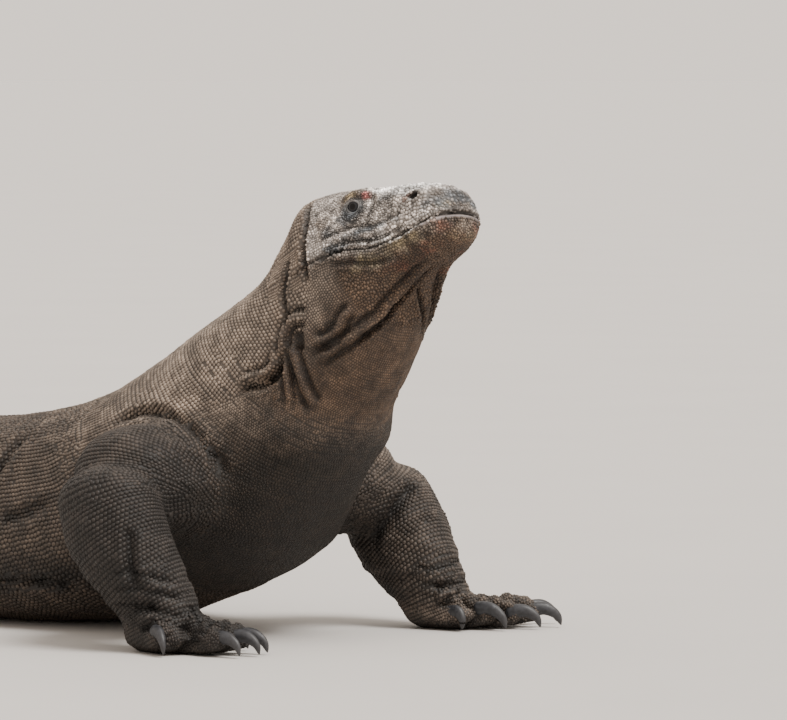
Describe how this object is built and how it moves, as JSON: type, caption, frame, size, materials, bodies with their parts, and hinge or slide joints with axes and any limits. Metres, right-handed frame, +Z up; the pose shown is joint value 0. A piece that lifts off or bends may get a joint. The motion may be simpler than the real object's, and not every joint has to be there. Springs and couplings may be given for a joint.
{
  "type": "komodo dragon",
  "caption": "Life-size still model of a komodo dragon resting on its belly, chest propped on both forelegs and head raised.",
  "frame": {"origin": "bottom centre of the bounding box, on the floor that the belly, feet and tail rest on", "axes": "+X towards the snout, +Y towards the animal's left, +Z up"},
  "size_m": [2.3286, 0.9332, 0.4582],
  "materials": {
    "skin": "matte, pebbled with scales",
    "claw": "satin horn",
    "eye": "wet gloss"
  },
  "bodies": {
    "root": {"head": "skin", "lower_jaw": "skin", "eye_right": "eye", "eye_left": "eye", "neck": "skin", "chest": "skin", "trunk": "skin", "tail_base": "skin", "tail_middle": "skin", "tail_end": "skin", "tail_tip": "skin", "foreleg_right_upper": "skin", "foreleg_right_lower": "skin", "foreleg_right_foot": "skin", "foreleg_right_claw_1": "claw", "foreleg_right_claw_2": "claw", "foreleg_right_claw_3": "claw", "foreleg_right_claw_4": "claw", "foreleg_right_claw_5": "claw", "foreleg_left_upper": "skin", "foreleg_left_lower": "skin", "foreleg_left_foot": "skin", "foreleg_left_claw_1": "claw", "foreleg_left_claw_2": "claw", "foreleg_left_claw_3": "claw", "foreleg_left_claw_4": "claw", "foreleg_left_claw_5": "claw", "hindleg_right_upper": "skin", "hindleg_right_lower": "skin", "hindleg_right_foot": "skin", "hindleg_right_claw_1": "claw", "hindleg_right_claw_2": "claw", "hindleg_right_claw_3": "claw", "hindleg_right_claw_4": "claw", "hindleg_right_claw_5": "claw", "hindleg_left_upper": "skin", "hindleg_left_lower": "skin", "hindleg_left_foot": "skin", "hindleg_left_claw_1": "claw", "hindleg_left_claw_2": "claw", "hindleg_left_claw_3": "claw", "hindleg_left_claw_4": "claw", "hindleg_left_claw_5": "claw"}
  },
  "joints": []
}
